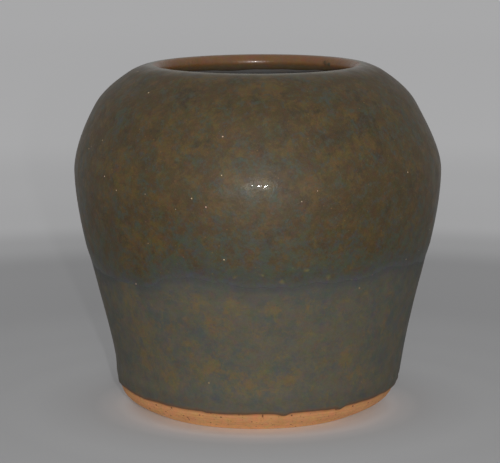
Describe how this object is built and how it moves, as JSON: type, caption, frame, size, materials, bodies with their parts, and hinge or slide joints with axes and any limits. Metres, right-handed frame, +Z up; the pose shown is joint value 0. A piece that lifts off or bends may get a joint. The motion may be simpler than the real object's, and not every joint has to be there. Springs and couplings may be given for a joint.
{
  "type": "vase",
  "caption": "Squat wheel-thrown stoneware vase with a broad rounded shoulder, a small open mouth, an undercut bare foot and dipped mottled glaze coats.",
  "frame": {"origin": "on the table under the middle of the vase: the bottom centre of its box, where the axis it was turned about meets the plane of the foot ring", "axes": "+Z up along the turning axis, towards the mouth; -Y faces the pictured side"},
  "size_m": [0.1276, 0.1276, 0.12],
  "materials": {
    "fired_clay": "bare toasted stoneware, matt, slightly gritty",
    "slate_glaze": "satin grey-olive glaze with slate and rust patches",
    "olive_glaze": "satin olive-brown glaze, finely mottled, breaking rust at the lip",
    "liner_glaze": "smooth dark brown-grey glaze"
  },
  "bodies": {
    "root": {"clay_body": "fired_clay", "base_glaze": "slate_glaze", "shoulder_glaze": "olive_glaze", "liner_glaze": "liner_glaze"}
  },
  "joints": []
}
